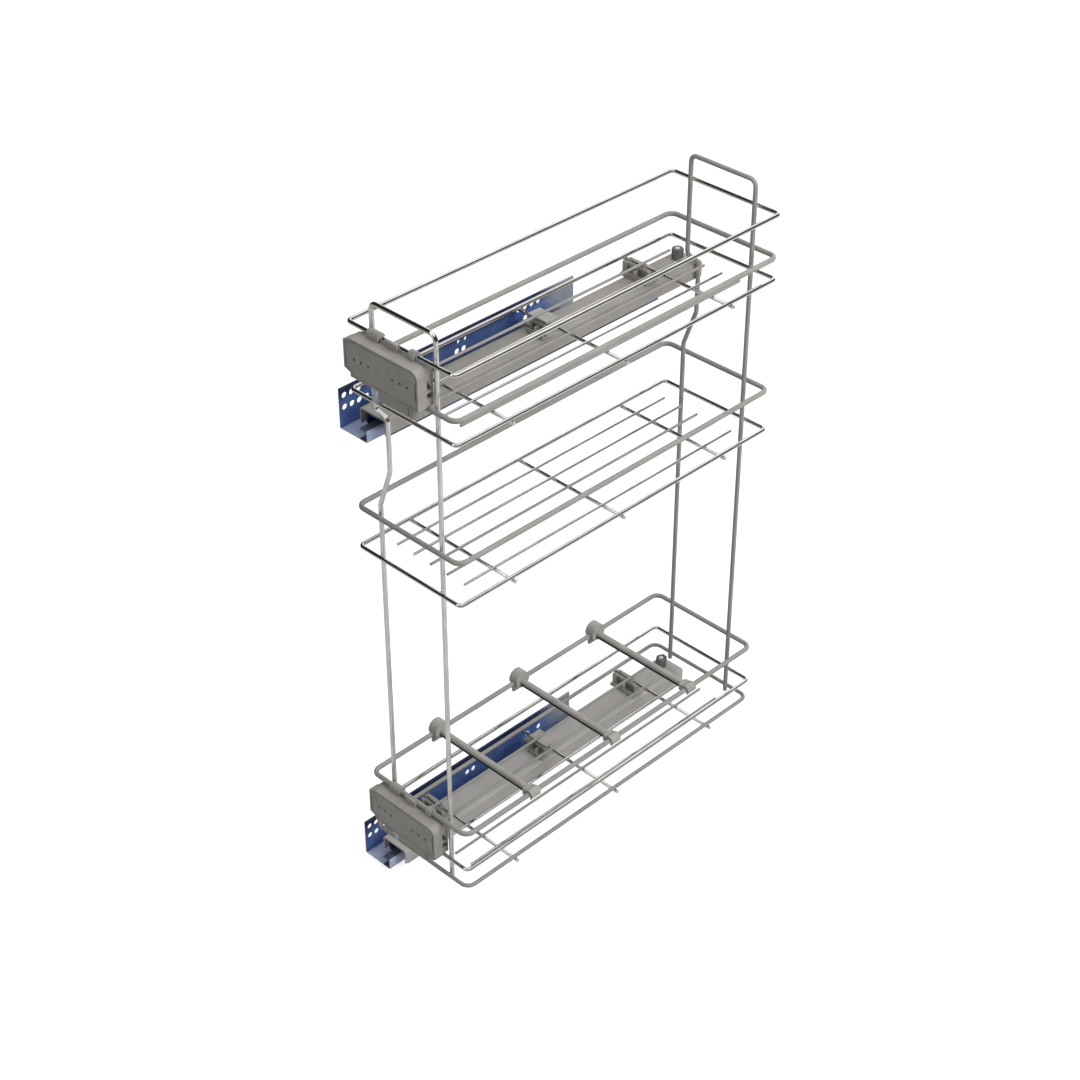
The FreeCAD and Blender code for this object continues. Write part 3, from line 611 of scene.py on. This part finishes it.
def makeBar(node):
    # A crown, y = a cos t, z = b sin t, both drawn out to a fuller curve by the power 2 / fullness, over a
    # narrower near-black strip along its underside, painted shade for the dark line beneath the bar.
    low, high = boxMm(node)
    middle, halfWidth = (low[1] + high[1]) / 2, (high[1] - low[1]) / 2
    shoulder = low[2] + barLook["stripHeightMm"]
    half = halfWidth - barLook["stripInsetMm"]
    t = np.linspace(0, math.pi, barLook["steps"])
    power = 2 / barLook["fullness"]
    crown = np.stack([middle + halfWidth * np.sign(np.cos(t)) * np.abs(np.cos(t)) ** power,
                      shoulder + (high[2] - shoulder) * np.abs(np.sin(t)) ** power], 1)
    top = shoulder + barLook["stripSinkMm"]
    strip = np.array([(middle - half, low[2]), (middle + half, low[2]),
                      (middle + half, top), (middle - half, top)])
    addPiece(node + "_crown", carriedAlongX(crown, low[0], high[0]), node)
    addPiece(node + "_strip", carriedAlongX(strip, low[0], high[0]), node,
             plastics["shadeStripBlack"])


knobLook = {"pinRadiusMm": 2.7, "crownMm": 0.4, "aboveTopMm": 0.5, "depthMm": 2.4, "steps": 24,
            "rings": (0.05, 0.3, 0.6, 0.85, 1.0, 1.0)}


def makeKnobPin(node):
    # A domed white pin over the knob's recess, its white a painted highlight on the knob's top: z = top - rise
    # (r / R) squared, then straight down at r = R.
    low, high = boxMm(node)
    centre = (low[:2] + high[:2]) / 2
    look = knobLook
    r = np.array(look["rings"]) * look["pinRadiusMm"]
    z = high[2] + look["aboveTopMm"] - look["crownMm"] * (r / look["pinRadiusMm"]) ** 2
    z[-1] -= look["depthMm"]
    u = np.linspace(0, 2 * math.pi, look["steps"], endpoint=False)
    grid = np.stack([centre[0] + r[::-1, None] * np.cos(u), centre[1] + r[::-1, None] * np.sin(u),
                     z[::-1, None] + 0 * u], 2).reshape(-1, 3)
    ring = np.arange(look["steps"])
    top = (len(r) - 1) * look["steps"] + ring
    addPiece(node + "_pin", (grid, [gridFaces(len(r), look["steps"]), ring[::-1][None], top[None]]), node,
             plastics["highlightWhiteAcetal"])


for level in ("lower", "upper"):
    makeKnobPin(level + "_thumb_knob")
roundedEdgesMm = {"head": 1.4, "barrel": 0.8}
roundedSegments = 4
for place in ("front", "middle", "rear"):
    divider = "divider_" + place
    makeBar(divider + "_bar")
    for part, bevelMm in roundedEdgesMm.items():
        softenedCopy(divider + "_" + part, divider + "_" + part + "_finished", bevelMm, roundedSegments)
print("stage 4: sheet and moulded pieces made")


# Studio: floor, lights, background and camera

studio = {"cameraMm": (1392.4, -1268.9, 1646.6), "azimuth": 44.781, "elevation": 35.016, "lensMm": 73.373,
          "sensorMm": 36.0, "aimMm": (83, 95, 320), "floorBelowMm": 2.0, "floorSizeMm": 9000.0, "floorTone": 0.5,
          "floorGlowSeen": 0.78, "floorGlowInGloss": 0.08, "worldStrength": 0.42}
# What gloss finds dark round the object: from the first heading to the second it falls to the tone.
darkPlaces = {"wall": {"X": (-0.38, -0.50), "Y": (0.6, 0.5), "tone": 0.02},
              "skirting": {"X": (-0.1, 0.1), "Z": (0.72, 0.62), "tone": 0.04}}
lamps = {"overhead": {"placeMm": (-100, 300, 2400), "sizeMm": (1600, 1600), "watts": 14.0},
         "side": {"placeMm": (1830, 560, 1560), "sizeMm": (1300, 1300), "watts": 34.0}}


def makeFloorPlane():
    # A level square of half its size to each side, just below the object.
    lowest = cadBox[0][2] / mm - studio["floorBelowMm"]
    half = studio["floorSizeMm"] / 2
    corners = np.array([(-half, -half, lowest), (half, -half, lowest),
                        (half, half, lowest), (-half, half, lowest)])
    mesh = bpy.data.meshes.new("studioFloor")
    mesh.from_pydata((corners * mm).tolist(), [], [[0, 1, 2, 3]])
    floor = bpy.data.objects.new("studioFloor", mesh)
    bpy.context.scene.collection.objects.link(floor)
    material = bpy.data.materials.new("paleFloor")
    material.use_nodes = True
    tree = material.node_tree
    tree.nodes.clear()
    # Seen straight the floor glows up to white, less where the object shades it; in gloss it is a pale grey.
    path = addNode(tree, "ShaderNodeLightPath")
    seen = addNode(tree, "ShaderNodeMath", {"operation": "MAXIMUM"},
                   {0: path.outputs["Is Camera Ray"], 1: path.outputs["Is Transmission Ray"]})
    straight = addNode(tree, "ShaderNodeMath", {"operation": "MULTIPLY", 1: studio["floorGlowSeen"]},
                       {0: seen.outputs[0]})
    strength = addNode(tree, "ShaderNodeMath", {"operation": "MULTIPLY_ADD", 1: studio["floorGlowInGloss"]},
                       {0: path.outputs["Is Glossy Ray"], 2: straight.outputs[0]})
    glow = addNode(tree, "ShaderNodeEmission", {"Color": (1, 1, 1, 1)}, {"Strength": strength.outputs[0]})
    matt = addNode(tree, "ShaderNodeBsdfDiffuse", {"Color": (*[studio["floorTone"]] * 3, 1)})
    both = addNode(tree, "ShaderNodeAddShader", {}, {0: glow.outputs[0], 1: matt.outputs[0]})
    addNode(tree, "ShaderNodeOutputMaterial", {}, {"Surface": both.outputs[0]})
    mesh.materials.append(material)


def makeWorld():
    # White to the camera and, for the most part, in gloss. Polished metal also finds a dark wall to the left of
    # the camera and a dark skirting on the object's near side, which draw the black lines along chromed wires.
    world = bpy.data.worlds.new("studio")
    bpy.context.scene.world = world
    world.use_nodes = True
    tree = world.node_tree
    tree.nodes.clear()
    path = addNode(tree, "ShaderNodeLightPath")
    seen = addNode(tree, "ShaderNodeMath", {"operation": "MAXIMUM"},
                   {0: path.outputs["Is Camera Ray"], 1: path.outputs["Is Transmission Ray"]})
    heading = addNode(tree, "ShaderNodeTexCoord")
    along = addNode(tree, "ShaderNodeSeparateXYZ", {}, {0: heading.outputs["Generated"]})

    dimming = []
    for place in darkPlaces.values():
        edges = []
        for axis in [key for key in place if key != "tone"]:
            edges.append(addNode(tree, "ShaderNodeMapRange",
                                 {"interpolation_type": "SMOOTHSTEP", "From Min": place[axis][0],
                                  "From Max": place[axis][1]}, {"Value": along.outputs[axis]}).outputs[0])
        within = addNode(tree, "ShaderNodeMath", {"operation": "MULTIPLY"}, {0: edges[0], 1: edges[1]})
        dimming.append(addNode(tree, "ShaderNodeMapRange", {"To Min": 1.0, "To Max": place["tone"]},
                               {"Value": within.outputs[0]}).outputs[0])
    gloss = addNode(tree, "ShaderNodeMath", {"operation": "MULTIPLY"}, {0: dimming[0], 1: dimming[1]})
    clear = addNode(tree, "ShaderNodeMath", {"operation": "MAXIMUM"}, {0: gloss.outputs[0], 1: seen.outputs[0]})
    plain = addNode(tree, "ShaderNodeMath", {"operation": "MAXIMUM"},
                    {0: seen.outputs[0], 1: path.outputs["Is Glossy Ray"]})
    level = addNode(tree, "ShaderNodeMix", {"data_type": "FLOAT", "A": studio["worldStrength"]},
                    {"Factor": plain.outputs[0], "B": clear.outputs[0]})
    glow = addNode(tree, "ShaderNodeBackground", {"Color": (1, 1, 1, 1)}, {"Strength": level.outputs[0]})
    addNode(tree, "ShaderNodeOutputWorld", {}, {"Surface": glow.outputs[0]})


def addAreaLight(name, look):
    # A soft box turned to the middle of the object, unseen in gloss.
    light = bpy.data.lights.new(name, "AREA")
    light.shape = "RECTANGLE"
    light.size = look["sizeMm"][0] * mm
    light.size_y = look["sizeMm"][1] * mm
    light.energy = look["watts"]
    lamp = bpy.data.objects.new(name, light)
    lamp.visible_glossy = False
    back = np.array(look["placeMm"], float) - np.array(studio["aimMm"], float)
    azimuth = math.atan2(back[0], -back[1])
    elevation = math.atan2(back[2], math.hypot(back[0], back[1]))
    lamp.location = [v * mm for v in look["placeMm"]]
    lamp.rotation_euler = (math.pi / 2 - elevation, 0, azimuth)
    bpy.context.scene.collection.objects.link(lamp)


def makeCamera():
    # The camera as fitted to the photograph's right angles.
    camera = bpy.data.cameras.new("photoCamera")
    camera.lens = studio["lensMm"]
    camera.sensor_width = studio["sensorMm"]
    holder = bpy.data.objects.new("photoCamera", camera)
    holder.location = [v * mm for v in studio["cameraMm"]]
    holder.rotation_euler = (math.radians(90 - studio["elevation"]), 0, math.radians(studio["azimuth"]))
    bpy.context.scene.collection.objects.link(holder)
    bpy.context.scene.camera = holder


makeFloorPlane()
makeWorld()
for name, look in lamps.items():
    addAreaLight(name, look)
makeCamera()
bpy.context.scene.view_settings.view_transform = "Standard"
print("stage 5: studio made")
